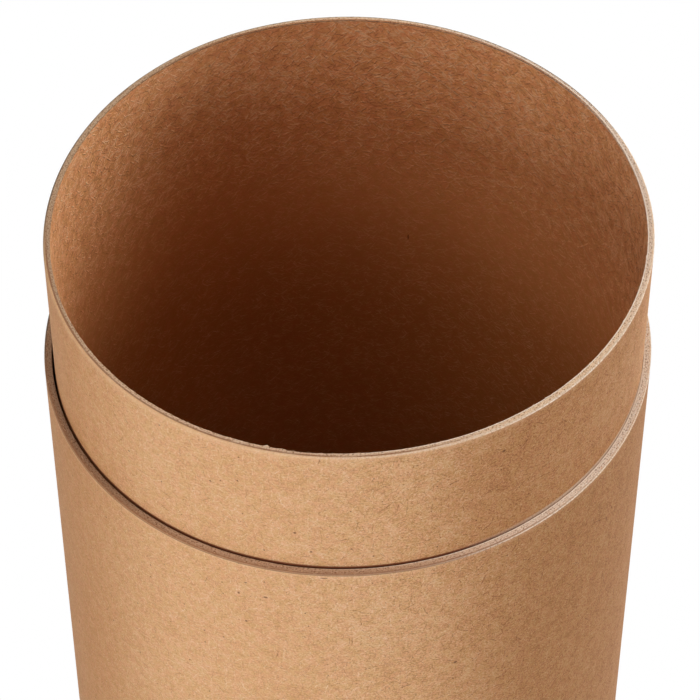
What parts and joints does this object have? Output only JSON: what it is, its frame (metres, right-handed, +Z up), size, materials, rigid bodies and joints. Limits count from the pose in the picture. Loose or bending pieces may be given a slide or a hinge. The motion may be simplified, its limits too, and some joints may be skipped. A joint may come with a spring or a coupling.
{
  "type": "cardboard mailing tube",
  "caption": "Telescoping round kraft mailing tube: open inner tube sliding in a closed-end outer tube, its neck standing out above the outer rim.",
  "frame": {"origin": "centre of the foot of the outer tube, on the surface it stands on", "axes": "+Z up along the tube's axis, from the closed foot to the open mouth; +X to the right and +Y away from the viewer, with no feature that marks them on a round tube"},
  "size_m": [0.107, 0.107, 0.3276],
  "materials": {
    "outer_board": "matte kraft paper over wound grey-brown board",
    "inner_board": "matte kraft paper over wound grey-brown board",
    "disc_board": "matte kraft board"
  },
  "bodies": {
    "outer": {"outer_tube": "outer_board", "base_disc": "disc_board"},
    "inner": {"inner_tube": "inner_board"}
  },
  "joints": [
    {"name": "telescope", "type": "slide", "parent": "outer", "child": "inner", "axis": [0, 0, 1], "range_m": [0, 0.3]}
  ]
}
